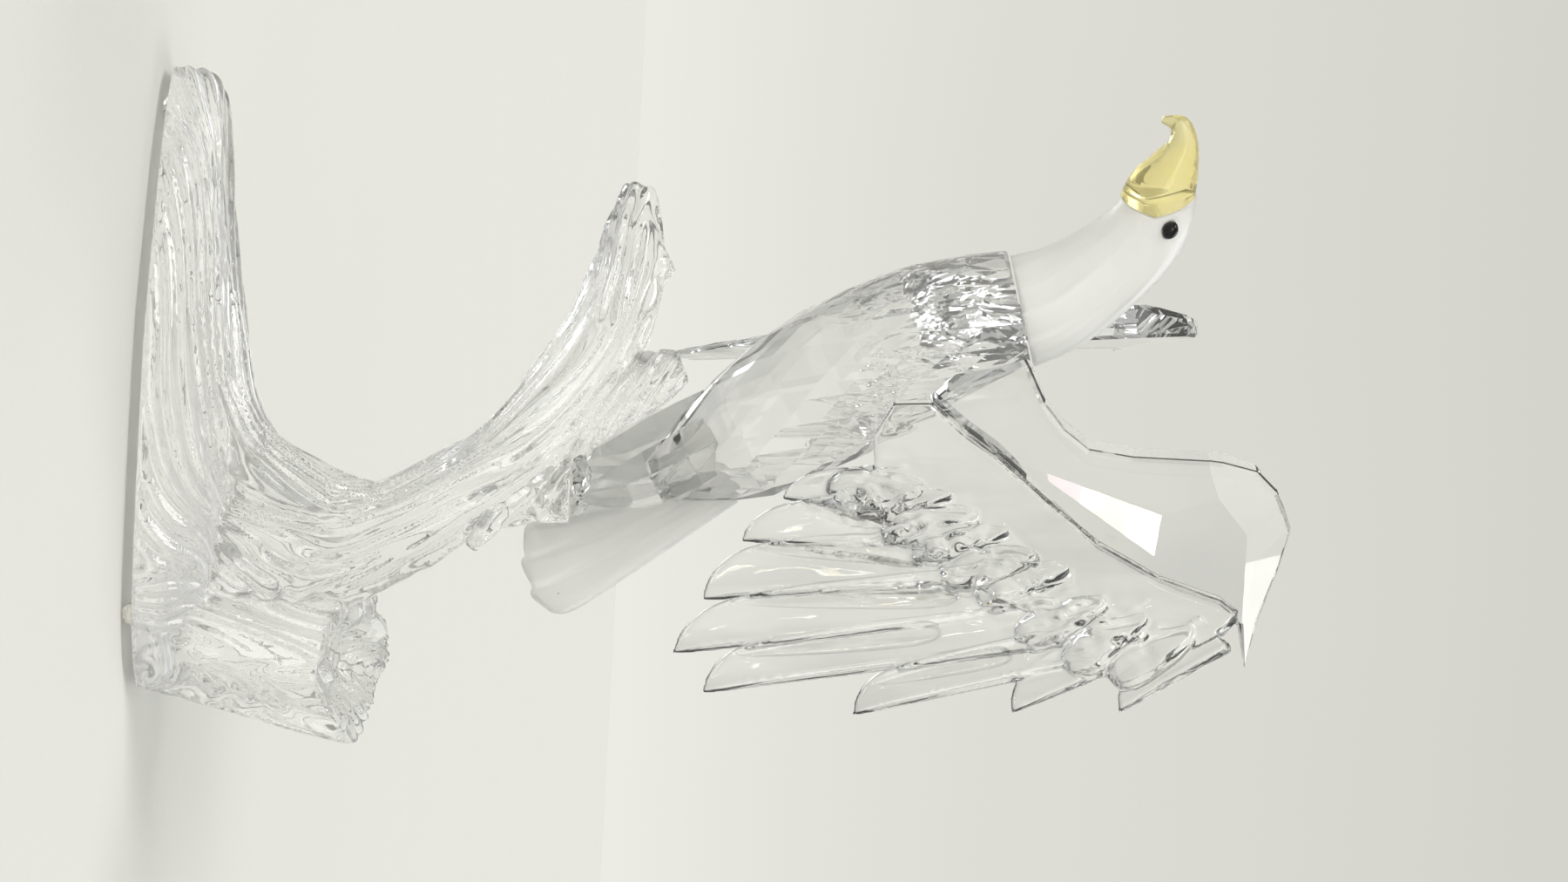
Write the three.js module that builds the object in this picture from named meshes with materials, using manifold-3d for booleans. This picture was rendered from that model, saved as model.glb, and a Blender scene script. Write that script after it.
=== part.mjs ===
// Crystal eagle figurine: a faceted eagle lands on a moulded driftwood stump.
// Millimetres, +Z up. The stump runs along Y with its low tip towards -Y.
import * as THREE from 'three';
import { mergeVertices } from 'three/addons/utils/BufferGeometryUtils.js';
import Module from 'manifold-3d';

const wasm = await Module();
wasm.setup();

// Driving dimensions
const FIGURE_HEIGHT = 157;
const GLUE_GAP = 0.3;
const PAD_DIAMETER = 3.2;
const PAD_PROUD = 1.4;
const PAD_FLAT = 1.6;
const EYE_LENGTH = 2.7;
const EYE_WIDTH = 2.2;
const EYE_PROUD = 0.7;
const WING_PLATE_THICKNESS = 5;
const FEATHER_THICKNESS = 2.6;
const ROOT_BAND_THICKNESS = 2.4;
const TAIL_THICKNESS = 2.4;
const TAIL_FEATHERS = 7;
const EAGLE_TURN = THREE.MathUtils.degToRad(28);
const WING_SWEEP = { left: THREE.MathUtils.degToRad(20), right: THREE.MathUtils.degToRad(30) };
const WING_DIP_DEGREES = { left: 0, right: 3.5 };
const WING_LEAN = THREE.MathUtils.degToRad(6);

// The free forms are drawn on a grid this many squares high, so they keep their shares of the figure's height.
const GRID = 157;
const unit = FIGURE_HEIGHT / GRID;
const UNDERSIDE = 2.8 * unit;

// Finishes
const clear = { color: 0xeef1f0, roughness: 0.03, metalness: 0 };
const satin = { color: 0xf2f2ef, roughness: 0.45, metalness: 0 };
const yellow = { color: 0xe5cf70, roughness: 0.05, metalness: 0 };
const black = { color: 0x0b0b0c, roughness: 0.08, metalness: 0 };

// Values that run smoothly through rows of numbers, from the first row at t = 0 to the last at t = 1
function through(rows) {
  const places = rows.map((row, i) => i / (rows.length - 1));
  const width = rows[0].length;
  const interpolant = new THREE.CubicInterpolant(places, rows.flat(), width, new Array(width));
  return (t) => [...interpolant.evaluate(t)];
}

// A manifold solid from a closed geometry, turned to face out
function solid(geometry) {
  const bare = geometry.clone();
  bare.deleteAttribute('normal');
  bare.deleteAttribute('uv');
  const merged = mergeVertices(bare, 1e-4);
  const make = (triVerts) =>
    new wasm.Manifold(
      new wasm.Mesh({ numProp: 3, vertProperties: new Float32Array(merged.attributes.position.array), triVerts }),
    );
  const corners = new Uint32Array(merged.index.array);
  const first = make(corners);
  return first.volume() > 0 ? first : make(corners.reverse());
}

function joined(solids) {
  return solids.reduce((whole, next) => whole.add(next));
}

// A three.js mesh from a manifold solid, flat shaded as cut crystal is
function piece(name, body, finish) {
  const mesh = body.getMesh();
  const geometry = new THREE.BufferGeometry();
  geometry.setAttribute('position', new THREE.BufferAttribute(new Float32Array(mesh.vertProperties), 3));
  geometry.setIndex(new THREE.BufferAttribute(new Uint32Array(mesh.triVerts), 1));
  geometry.computeVertexNormals();
  const made = new THREE.Mesh(geometry, new THREE.MeshStandardMaterial({ ...finish, flatShading: true }));
  made.name = name;
  return made;
}

// A closed solid bent from a unit cylinder: place(t, angle, reach) gives each point, with reach 0 at an end's middle
function loft(sides, steps, place) {
  const geometry = new THREE.CylinderGeometry(1, 1, 1, sides, steps);
  const points = geometry.getAttribute('position');
  const at = new THREE.Vector3();
  for (let i = 0; i < points.count; i++) {
    at.fromBufferAttribute(points, i);
    const reach = Math.hypot(at.x, at.z) > 0.5 ? 1 : 0;
    const q = place(at.y + 0.5, Math.atan2(at.z, at.x), reach);
    points.setXYZ(i, q.x, q.y, q.z);
  }
  return solid(geometry);
}

// A limb along rows of [x, y, z, half width across X, half thickness in the bending plane]
function limb(rows, sides, steps, relief = () => 0, grow = 0) {
  const at = through(rows.map((row) => row.map((value) => value * unit)));
  const step = 0.01;
  return loft(sides, steps, (t, angle, reach) => {
    const [x, y, z, across, thick] = at(t);
    const before = at(Math.max(0, t - step));
    const after = at(Math.min(1, t + step));
    const tangent = new THREE.Vector3(after[0] - before[0], after[1] - before[1], after[2] - before[2]).normalize();
    const side = new THREE.Vector3(1, 0, 0).addScaledVector(tangent, -tangent.x).normalize();
    const up = new THREE.Vector3().crossVectors(tangent, side);
    const swell = reach * (1 + relief(t, angle));
    return new THREE.Vector3(x, y, z)
      .addScaledVector(side, (across + grow) * swell * Math.cos(angle))
      .addScaledVector(up, (thick + grow) * swell * Math.sin(angle));
  });
}

// Everything on the side of a point that a direction looks to
function halfSpace(point, direction) {
  const size = FIGURE_HEIGHT;
  const box = new THREE.BoxGeometry(size, size, size).translate(0, 0, size / 2);
  const turn = new THREE.Quaternion().setFromUnitVectors(new THREE.Vector3(0, 0, 1), direction.clone().normalize());
  return solid(box.applyQuaternion(turn).translate(point.x, point.y, point.z));
}

// A flat plate with bevelled edges from an outline of [across, up] pairs, centred on its own plane
function plate(outline, thickness, bevel) {
  const shape = new THREE.Shape(outline.map(([across, up]) => new THREE.Vector2(across * unit, up * unit)));
  const geometry = new THREE.ExtrudeGeometry(shape, {
    depth: thickness - 2 * bevel,
    bevelEnabled: true,
    bevelThickness: bevel,
    bevelSize: bevel,
    bevelOffset: -bevel,
    bevelSegments: 1,
    steps: 1,
  });
  return solid(geometry.translate(0, 0, bevel - thickness / 2));
}

// Wood grain: long flutes that wander round a limb
function grain(flutes, depth, wander) {
  return (t, angle) => depth * Math.cos(flutes * angle + wander * Math.sin(5 * t)) * Math.min(1, 6 * t, 6 * (1 - t));
}

// Driftwood stump
const baseRows = [
  [-48.6, -3, 3.2, 7.2],
  [-46, -3, 6.5, 9.6],
  [-37, -1.5, 9.5, 11],
  [-25, -1.5, 13, 12],
  [-12, -2, 16.5, 13.6],
  [2, -2.5, 17.5, 15.4],
  [16, -3, 17.5, 15],
  [28, -3.5, 16.5, 13],
  [36, -4.5, 13.5, 10.5],
  [39.6, -5, 9, 8],
];
function baseSlab() {
  const at = through(baseRows.map((row) => row.map((value) => value * unit)));
  return loft(20, 12, (t, angle, reach) => {
    const [y, middle, halfWidth, top] = at(t);
    const cosine = Math.cos(angle);
    const sine = Math.sin(angle);
    const flute = 1 + 0.035 * Math.cos(9 * angle + 3 * Math.sin(5 * t));
    const rise = (top - UNDERSIDE) * flute;
    const x = middle + reach * halfWidth * Math.sign(cosine) * Math.abs(cosine) ** 0.75;
    const z = UNDERSIDE + (sine > 0 ? rise * reach * sine ** 0.8 : 2 * unit * reach * sine);
    return new THREE.Vector3(x, y, z);
  });
}

const trunkRows = [
  [-4, 18, 3, 12, 12],
  [-3, 18.5, 15, 11, 11.5],
  [-1.5, 18.5, 27, 9.5, 8.6],
  [0, 15.4, 37, 8.2, 6.9],
  [0, 9.6, 46.3, 7.6, 6.2],
  [0, 3.4, 53.6, 7.6, 5.9],
  [-1, -5.6, 60.4, 8, 6.1],
  [-2, -14, 65.6, 7.6, 5.9],
  [-3, -22, 68.2, 6.2, 5.2],
  [-3, -29.5, 69, 4.6, 4],
  [-3, -35.6, 69.6, 2.4, 2.2],
];
const forkRows = [
  [1, 2, 58, 4.5, 4.5],
  [2, -3.5, 66, 4.4, 4.4],
  [2.5, -8, 73, 4, 3.9],
  [2.5, -10, 77, 2.6, 2.6],
];
const knobRows = [
  [-3, -21, 66, 4, 4],
  [-2.5, -23.5, 70.5, 3.8, 3.6],
  [-2.5, -25.5, 74, 2, 2],
];
const perchRows = [
  [1, 12, 45, 4.5, 3.5],
  [-1, 10.5, 51, 7, 4.2],
  [-3, 8.8, 56.5, 8.4, 4.8],
  [-3, 8, 64, 8.6, 5],
];
const twigRows = [
  [2, 8, 52.5, 2.6, 2.6],
  [4, 13.5, 51, 2.5, 2.3],
  [4.5, 17.4, 48.2, 1.5, 1.4],
];
const logRows = [
  [-6, 26.4, 3, 14.5, 12.6],
  [-6, 29.4, 14, 14, 12],
  [-6, 33.2, 26, 13, 11.6],
  [-6, 36.8, 40, 12, 10.8],
];
const PERCH_TOP = 61.8 * unit;
const DISH_DEPTH = 3 * unit;

// The trunk with the short fork that stands on it
function trunkForm(grow) {
  return limb(trunkRows, 18, 16, grain(7, 0.07, 3), grow).add(limb(forkRows, 10, 5, grain(4, 0.07, 2), grow));
}

function stump() {
  const squared = (t, angle) => 0.12 * Math.cos(4 * (angle + 0.6)) * -1 + 0.03 * Math.cos(11 * angle + 4 * t);
  const breakPoint = new THREE.Vector3(-6 * unit, 34 * unit, 32.2 * unit);
  const brokenEnd = halfSpace(breakPoint, new THREE.Vector3(0.28, 0.06, 1));
  const dish = new THREE.SphereGeometry(1, 12, 6).rotateX(Math.PI / 2).scale(9 * unit, 8 * unit, DISH_DEPTH);
  const log = limb(logRows, 22, 4, squared)
    .subtract(brokenEnd)
    .subtract(solid(dish.rotateY(0.27).translate(breakPoint.x, breakPoint.y, breakPoint.z)));
  const abovePerch = halfSpace(new THREE.Vector3(0, 0, PERCH_TOP), new THREE.Vector3(0, 0, 1));
  const grown = joined([
    baseSlab(),
    trunkForm(0),
    log,
    limb(knobRows, 8, 4),
    limb(perchRows, 14, 5, grain(6, 0.05, 4)).subtract(abovePerch),
    limb(twigRows, 8, 4),
  ]);
  const flatUnderside = halfSpace(new THREE.Vector3(0, 0, UNDERSIDE), new THREE.Vector3(0, 0, -1));
  return grown.subtract(flatUnderside);
}

// Foot pads under the stump: front tip, back corner towards +X, back corner towards -X
const padPlaces = [
  [-1, -43],
  [11, 28.6],
  [-15, 18],
];
function footPad([x, y]) {
  const radius = PAD_DIAMETER / 2;
  const middle = Math.sqrt(radius ** 2 - (PAD_FLAT / 2) ** 2);
  const dome = solid(new THREE.SphereGeometry(radius, 12, 8).rotateX(Math.PI / 2).translate(0, 0, middle));
  const above = halfSpace(new THREE.Vector3(0, 0, PAD_PROUD), new THREE.Vector3(0, 0, 1));
  const below = halfSpace(new THREE.Vector3(), new THREE.Vector3(0, 0, -1));
  const top = UNDERSIDE - GLUE_GAP / 4;
  return dome.subtract(above).subtract(below).translate([x * unit, y * unit, top - PAD_PROUD]);
}

// Eagle, in its own frame: it faces -Y and its left wing is towards +X
const bodyRows = [
  [0, 7.4, 75, 3.2],
  [0, 3.6, 80.6, 7],
  [0, -0.6, 86.4, 9.5],
  [0, -5.2, 92.4, 10.7],
  [0, -9.8, 98.4, 11.2],
  [0, -13.8, 104.8, 11.2],
  [0, -17.4, 111.2, 10.8],
  [0, -20.6, 117.8, 9.9],
  [0, -23.6, 125, 8.4],
];
const NECK_JOINT = new THREE.Vector3(0, -22.3 * unit, 123.7 * unit);
const NECK_LEAN = new THREE.Vector3(0, -0.29, 0.957);

// The body's facets turn by half a facet from one ring to the next, as a cut stone's do
function bodyForm(grow) {
  const rings = 8;
  const sides = 12;
  const rows = bodyRows.map(([x, y, z, radius]) => [x, y, z, radius, radius]);
  const at = through(rows.map((row) => row.map((value) => value * unit)));
  const axis = new THREE.Vector3(0, -0.53, 0.848);
  const side = new THREE.Vector3(1, 0, 0);
  const up = new THREE.Vector3().crossVectors(axis, side);
  return loft(sides, rings, (t, angle, reach) => {
    const [x, y, z, radius] = at(t);
    const turned = angle + (Math.round(t * rings) * Math.PI) / sides;
    return new THREE.Vector3(x, y, z)
      .addScaledVector(axis, reach ? 0 : Math.sign(t - 0.5) * grow)
      .addScaledVector(side, (radius + grow) * reach * Math.cos(turned))
      .addScaledVector(up, (radius + grow) * reach * Math.sin(turned));
  });
}

function body() {
  return bodyForm(0).subtract(halfSpace(NECK_JOINT, NECK_LEAN));
}

const headRows = [
  [0, -20.5, 119, 8.3, 8.1],
  [0, -24, 127.5, 7.8, 7.5],
  [0, -27.6, 132.4, 7.1, 6.9],
  [0, -32, 137, 6.4, 6.2],
  [0, -36.6, 140.1, 6, 5.6],
  [0, -41, 141.2, 5, 5],
  [0, -44, 141.5, 4.4, 4.3],
];
const beakRows = [
  [0, -35.5, 140.4, 5, 5.6],
  [0, -41.4, 141, 4.7, 5.1],
  [0, -45.4, 142.3, 3.5, 3.7],
  [0, -49, 143.2, 2.3, 2.1],
  [0, -51.8, 142.3, 1.3, 1.4],
  [0, -52.4, 139.8, 0.3, 0.4],
];
const GAPE = [-40, 139.8];
const CHIN = [-40.9, 135.6];
const BROW = [-42.4, 146.6];

// The wedge between chin, gape and brow that the beak fills
function beakSpace(grow) {
  const back = [GAPE, CHIN, BROW].map(([y, z]) => [y * unit, z * unit]);
  const middle = [(CHIN[0] + BROW[0]) * 0.5 * unit, GAPE[1] * unit];
  const far = 30 * unit;
  const shape = new THREE.Shape([
    new THREE.Vector2(back[0][0] + grow, back[0][1]),
    new THREE.Vector2(back[1][0] + grow, back[1][1]),
    new THREE.Vector2(back[1][0] + grow, back[1][1] - far),
    new THREE.Vector2(middle[0] - far, back[1][1] - far),
    new THREE.Vector2(middle[0] - far, back[2][1] + far),
    new THREE.Vector2(back[2][0] + grow, back[2][1] + far),
    new THREE.Vector2(back[2][0] + grow, back[2][1]),
  ]);
  const geometry = new THREE.ExtrudeGeometry(shape, { depth: 2 * far, bevelEnabled: false });
  const basis = new THREE.Matrix4().makeBasis(
    new THREE.Vector3(0, 1, 0),
    new THREE.Vector3(0, 0, 1),
    new THREE.Vector3(1, 0, 0),
  );
  return solid(geometry.translate(0, 0, -far).applyMatrix4(basis));
}

const EYE_PLACE = [5.55, -38.6, 142];
function eyeForm(side, grow) {
  const ball = new THREE.SphereGeometry(1, 10, 5).scale(
    EYE_PROUD + 0.5 + grow,
    EYE_LENGTH / 2 + grow,
    EYE_WIDTH / 2 + grow,
  );
  ball.rotateX(-0.5);
  return solid(ball.translate(side * EYE_PLACE[0] * unit, EYE_PLACE[1] * unit, EYE_PLACE[2] * unit));
}

function headAndNeck() {
  const feathers = (t, angle) => 0.045 * Math.cos(9 * angle) * Math.max(0, 1 - 1.6 * t);
  const joint = NECK_JOINT.clone().addScaledVector(NECK_LEAN, GLUE_GAP);
  return limb(headRows, 22, 9, feathers)
    .subtract(halfSpace(joint, NECK_LEAN.clone().negate()))
    .subtract(beakSpace(GLUE_GAP))
    .subtract(eyeForm(1, GLUE_GAP))
    .subtract(eyeForm(-1, GLUE_GAP));
}

function beak() {
  return limb(beakRows, 10, 9).intersect(beakSpace(0));
}

// Tail: a fan of feathers from one root, each a flat blade
const TAIL_ROOT = [0, 6.5, 86];
const TAIL_NEAR = [17, 19.5, 59];
const TAIL_FAR = [-22, 10.2, 68.6];
function blade(root, tip, face, halfWidth, thickness, sides, steps) {
  const along = new THREE.Vector3().subVectors(tip, root);
  const across = new THREE.Vector3().crossVectors(face, along).normalize();
  const out = new THREE.Vector3().crossVectors(along, across).normalize();
  return loft(sides, steps, (t, angle, reach) => {
    const width = halfWidth * Math.sqrt(Math.max(0.16, 1 - t ** 6)) * (0.72 + 0.28 * t);
    const lean = 0.2 * halfWidth * t ** 4;
    return new THREE.Vector3()
      .copy(root)
      .addScaledVector(along, 1 - (1 - t) ** 1.5)
      .addScaledVector(across, reach * width * Math.cos(angle) + lean)
      .addScaledVector(out, reach * (thickness / 2) * Math.sin(angle) * (1 - 0.35 * t));
  });
}

function tailForm(grow) {
  const root = new THREE.Vector3(...TAIL_ROOT).multiplyScalar(unit);
  const near = new THREE.Vector3(...TAIL_NEAR).multiplyScalar(unit).sub(root);
  const far = new THREE.Vector3(...TAIL_FAR).multiplyScalar(unit).sub(root);
  const face = new THREE.Vector3().crossVectors(near, far).normalize();
  const length = near.length();
  const spread = near.angleTo(far);
  const blades = [];
  for (let i = 0; i < TAIL_FEATHERS; i++) {
    const share = i / (TAIL_FEATHERS - 1);
    const direction = near.clone().applyAxisAngle(face, spread * share).setLength(length * (1 - 0.12 * share));
    const halfWidth = (length * spread) / TAIL_FEATHERS / 1.35 + grow;
    blades.push(blade(root, root.clone().add(direction), face, halfWidth, TAIL_THICKNESS + 2 * grow, 6, 5));
  }
  return joined(blades);
}

function tail() {
  return tailForm(0).subtract(bodyForm(GLUE_GAP));
}

// Legs: a cut thigh that narrows to the ankle, over three toes and a hind claw laid on the perch
const LEG_SPACING = 9.6;
const LEG_FORWARD = 7.6;
const TOE_RADIUS = 1.25;
const TOE_LENGTH = 6.2;
const toeTurns = [-0.6, 0, 0.6, Math.PI];

function leg(side, perchTop) {
  const x = (side * LEG_SPACING) / 2;
  const sole = perchTop / unit + GLUE_GAP / unit;
  const thighRows = [
    [x, LEG_FORWARD, sole, 1.9, 1.9],
    [x, LEG_FORWARD, sole + 2.6, 1.7, 1.9],
    [x, LEG_FORWARD - 1.4, sole + 8, 3.2, 3.8],
    [x, LEG_FORWARD - 5, sole + 15, 4.2, 5],
    [x * 0.9, LEG_FORWARD - 9.4, sole + 21, 4, 4.6],
  ];
  const toes = toeTurns.map((turn) => {
    const reach = Math.abs(turn) > 2 ? TOE_LENGTH * 0.55 : TOE_LENGTH;
    const tip = [x + reach * Math.sin(turn), LEG_FORWARD - reach * Math.cos(turn)];
    const middle = [(x + tip[0]) / 2, (LEG_FORWARD + tip[1]) / 2];
    return limb(
      [
        [x, LEG_FORWARD, sole + 0.9, TOE_RADIUS, TOE_RADIUS],
        [...middle, sole + 1.3, TOE_RADIUS, TOE_RADIUS * 1.1],
        [...tip, sole + 0.4, TOE_RADIUS * 0.5, TOE_RADIUS * 0.5],
      ],
      5,
      2,
    );
  });
  const underSole = halfSpace(new THREE.Vector3(0, 0, sole * unit), new THREE.Vector3(0, 0, -1));
  return joined([limb(thighRows, 6, 6), ...toes])
    .subtract(underSole)
    .subtract(trunkForm(GLUE_GAP).rotate([0, 0, -THREE.MathUtils.radToDeg(EAGLE_TURN)]))
    .subtract(tailForm(GLUE_GAP))
    .subtract(bodyForm(GLUE_GAP));
}

// Wings, drawn on their own plane as [out along the span, height]
const WING_ROOT = new THREE.Vector3(11 * unit, -15 * unit, 118 * unit);
const seam = [
  [40, 149.5],
  [37.5, 147.3],
  [33.7, 139.7],
  [27.7, 132.2],
  [19.9, 125.8],
  [12, 119.7],
  [7.9, 115.8],
  [2, 111],
];
const leadingEdge = [
  [-9, 121],
  [-4.9, 124.7],
  [2.6, 126.7],
  [7, 128.9],
  [10.9, 132.2],
  [12.4, 138],
  [13.5, 149.6],
  [14.7, 154.2],
  [18.3, 156.7],
  [24.5, 158],
  [30.4, 155.9],
  [39.1, 152.2],
  [46.8, 149.7],
];
const bandEdge = [
  [2, 106],
  [8, 103],
  [14.6, 103.1],
  [23.3, 103.6],
  [29.5, 112.7],
  [37, 120.3],
  [41.5, 129.1],
  [44.4, 135.5],
  [44.9, 143.3],
  [42.5, 147.4],
];
// Each facet: a point on the plate's face and how the cut leans away from it, out along the span and upwards
const facets = [
  [15.1, 137.5, 0.049, -0.011],
  [14.6, 124.1, 0.138, -0.057],
  [21.9, 140.3, 0.156, 0.023],
  [17.5, 147.8, 0.003, 0.283],
  [26.7, 149.8, 0.222, 0.487],
  [15.3, 123.9, 0.283, -0.195],
];
// Each feather: the root and the tip of its inner edge, the root and the tip of its outer edge, and how blunt it ends
const feathers = [
  [13.4, 107, 13.8, 90.9, 21.3, 107, 18.8, 90.6, 5],
  [18.8, 111, 18.8, 85.6, 28, 111, 26.1, 85.2, 5],
  [25.1, 116, 26.3, 80.8, 33.4, 116, 35.9, 80.2, 8],
  [30.8, 121, 36.3, 77.5, 39.9, 121, 44.6, 76.6, 11],
  [36.9, 127, 43.8, 81.2, 44.4, 127, 51, 80.5, 16],
  [40.7, 132, 48.7, 99.7, 47.3, 132, 54.9, 99.6, 14],
  [37.4, 137.5, 49.6, 118.6, 44.8, 141, 55, 119.6, 12],
  [40.8, 144, 48.6, 132.6, 45.8, 148.2, 55.3, 132.9, 10],
];
// Where the coverts start, along a scalloped line below the seam
const covertLine = [
  [18, 109.5],
  [20.4, 113.2],
  [23.1, 116.6],
  [26.7, 120.5],
  [30.3, 123.9],
  [33.3, 128.1],
  [37.8, 132.4],
  [41.2, 137.5],
  [43, 143.2],
];
const COVERT_LENGTH = 13;

function wingPlateForm(grow) {
  return plate([...leadingEdge, ...seam], WING_PLATE_THICKNESS + 2 * grow, grow ? 0.01 : 0.5);
}

function wingPlate() {
  const cuts = facets.map(([out, up, leanOut, leanUp]) =>
    halfSpace(
      new THREE.Vector3(out * unit, up * unit, WING_PLATE_THICKNESS / 2),
      new THREE.Vector3(leanOut, leanUp, 1),
    ),
  );
  return cuts.reduce((cut, side) => cut.subtract(side), wingPlateForm(0));
}

const onPlane = (out, up, lift) => new THREE.Vector3(out * unit, up * unit, lift * FEATHER_THICKNESS);

// A feather keeps a straight outer edge, and its inner edge curves over to meet it in a corner at the tip
function feather(row, lift) {
  const [innerRoot, innerTip, outerRoot, outerTip] = [0, 2, 4, 6].map((i) => onPlane(row[i], row[i + 1], 0));
  const bluntness = row[8];
  const corner = Math.PI / 6;
  return loft(6, 5, (t, angle, reach) => {
    const along = 1 - (1 - t) ** 1.6;
    const outer = outerRoot.clone().lerp(outerTip, along);
    const inner = innerRoot.clone().lerp(innerTip, along);
    inner.lerp(outer, 1 - Math.sqrt(Math.max(0.05, 1 - along ** bluntness)));
    const across = (reach * Math.cos(angle + corner)) / Math.cos(corner);
    const height = reach * Math.sin(angle + corner) * (1 - 0.35 * along) * 0.5;
    return inner
      .lerp(outer, 0.5 + across / 2)
      .add(onPlane(0, 0, height + lift * (1 - along)));
  });
}

function wingFeathers() {
  const face = new THREE.Vector3(0, 0, 1);
  const long = feathers.map((row, i) => feather(row, 0.2 * (i % 2)));
  const coverts = covertLine.map(([out, up], i) => {
    const row = feathers[Math.min(i, feathers.length - 1)];
    const along = onPlane(row[6] - row[4], row[7] - row[5], 0).setLength(COVERT_LENGTH * unit);
    const root = onPlane(out, up, 0.2 * (i % 2));
    return blade(root, root.clone().add(along), face, 3.6 * unit, FEATHER_THICKNESS * 1.7, 6, 3);
  });
  const band = plate([...bandEdge, ...seam], ROOT_BAND_THICKNESS, 0.3);
  return joined([band, ...long, ...coverts]).subtract(wingPlateForm(GLUE_GAP));
}

// Carries a solid from a wing's plane to the left side of the eagle. The plane is swept back and leans forward
// at the top, and the wing dips in it about its root. The right wing is mirrored to its own side afterwards.
function onWing(form, name) {
  const sweep = WING_SWEEP[name];
  const out = new THREE.Vector3(Math.cos(sweep), Math.sin(sweep), 0);
  const ahead = new THREE.Vector3(Math.sin(sweep), -Math.cos(sweep), 0);
  const up = new THREE.Vector3(0, 0, Math.cos(WING_LEAN)).addScaledVector(ahead, Math.sin(WING_LEAN));
  const basis = new THREE.Matrix4().makeBasis(out, up, new THREE.Vector3().crossVectors(out, up));
  basis.setPosition(WING_ROOT);
  return form
    .translate([0, -WING_ROOT.z, 0])
    .rotate([0, 0, -WING_DIP_DEGREES[name]])
    .transform(basis.elements)
    .subtract(bodyForm(GLUE_GAP));
}

// Assembly
const eagle = new THREE.Group();
eagle.rotation.z = EAGLE_TURN;
eagle.add(
  piece('body', body(), clear),
  piece('head_and_neck', headAndNeck(), satin),
  piece('beak', beak(), yellow),
  piece('tail', tail(), satin),
);
for (const [name, side] of [['left', 1], ['right', -1]]) {
  eagle.add(piece(`eye_${name}`, eyeForm(side, 0), black));
  eagle.add(piece(`leg_${name}`, leg(side, PERCH_TOP), clear));
  const plateMesh = piece(`wing_plate_${name}`, onWing(wingPlate(), name), clear);
  const featherMesh = piece(`wing_feathers_${name}`, onWing(wingFeathers(), name), clear);
  plateMesh.scale.x = side;
  featherMesh.scale.x = side;
  eagle.add(plateMesh, featherMesh);
}

const figurine = new THREE.Group();
figurine.name = 'crystal_eagle';
figurine.add(eagle, piece('stump', stump(), clear));
padPlaces.forEach((place, i) => figurine.add(piece(`foot_pad_${i + 1}`, footPad(place), clear)));

// The origin is under the middle of the whole figure, at the level it stands on
const whole = new THREE.Box3().setFromObject(figurine, true);
const middle = whole.getCenter(new THREE.Vector3());
figurine.position.set(-middle.x, -middle.y, -whole.min.z);

export default figurine;
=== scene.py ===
# Crystal eagle on a driftwood stump: the finishes and the fine forms of each piece
import math

import bmesh
import bpy
import numpy as np
from mathutils import Matrix, Vector


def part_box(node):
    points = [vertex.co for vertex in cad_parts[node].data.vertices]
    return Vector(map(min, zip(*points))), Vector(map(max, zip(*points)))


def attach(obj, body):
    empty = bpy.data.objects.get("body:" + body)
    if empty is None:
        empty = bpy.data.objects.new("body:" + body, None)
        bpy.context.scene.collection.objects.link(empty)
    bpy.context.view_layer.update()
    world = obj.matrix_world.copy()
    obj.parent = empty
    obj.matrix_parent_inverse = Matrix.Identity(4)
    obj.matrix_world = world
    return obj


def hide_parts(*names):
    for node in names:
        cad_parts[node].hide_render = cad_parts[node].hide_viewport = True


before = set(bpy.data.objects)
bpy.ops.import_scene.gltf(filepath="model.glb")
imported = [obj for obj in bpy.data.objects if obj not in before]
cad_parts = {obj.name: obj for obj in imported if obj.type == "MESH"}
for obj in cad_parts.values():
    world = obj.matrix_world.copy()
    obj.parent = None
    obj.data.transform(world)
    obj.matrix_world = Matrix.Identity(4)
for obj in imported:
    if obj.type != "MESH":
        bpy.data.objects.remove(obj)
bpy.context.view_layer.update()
scene = bpy.context.scene

MM = 0.001

# The drawing's origin, found from the front foot pad and the place where the middle of its underside is drawn
PAD_DRAWN = (-1, -43, 1.325)
pad_low, pad_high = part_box("foot_pad_1")
drawn_origin = np.array(
    [
        (pad_low.x + pad_high.x) / 2 - PAD_DRAWN[0] * MM,
        (pad_low.y + pad_high.y) / 2 - PAD_DRAWN[1] * MM,
        pad_low.z - PAD_DRAWN[2] * MM,
    ]
)
# How far the eagle is turned on its stump, and how its wings sweep back, dip and lean from their roots
EAGLE_TURN = math.radians(28)
LEFT, RIGHT = 1, -1
WING_SWEEP = {LEFT: math.radians(20), RIGHT: math.radians(30)}
WING_DIP = {LEFT: 0.0, RIGHT: math.radians(3.5)}
WING_LEAN = math.radians(6)
WING_ROOT = np.array([11.0, -15.0, 118.0])


def placed(points):
    """Drawing millimetres to metres in the figure's frame."""
    return np.asarray(points, float) * MM + drawn_origin


def turned(points):
    """The eagle's own frame, where it faces -Y, to the drawing."""
    c, s = math.cos(EAGLE_TURN), math.sin(EAGLE_TURN)
    x, y, z = np.asarray(points, float).T
    return np.stack([c * x - s * y, s * x + c * y, z], axis=1)


def on_wing(points, side):
    """A wing's plane as (out, up, towards the front) to the eagle's frame."""
    sweep, dip = WING_SWEEP[side], WING_DIP[side]
    out = np.array([math.cos(sweep), math.sin(sweep), 0])
    ahead = np.array([math.sin(sweep), -math.cos(sweep), 0])
    up = np.array([0, 0, math.cos(WING_LEAN)]) + ahead * math.sin(WING_LEAN)
    u, v, w = np.asarray(points, float).T
    v = v - WING_ROOT[2]
    u, v = u * math.cos(dip) + v * math.sin(dip), v * math.cos(dip) - u * math.sin(dip)
    carried = WING_ROOT + u[:, None] * out + v[:, None] * up + w[:, None] * np.cross(out, up)
    carried[:, 0] *= side
    return carried


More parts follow.
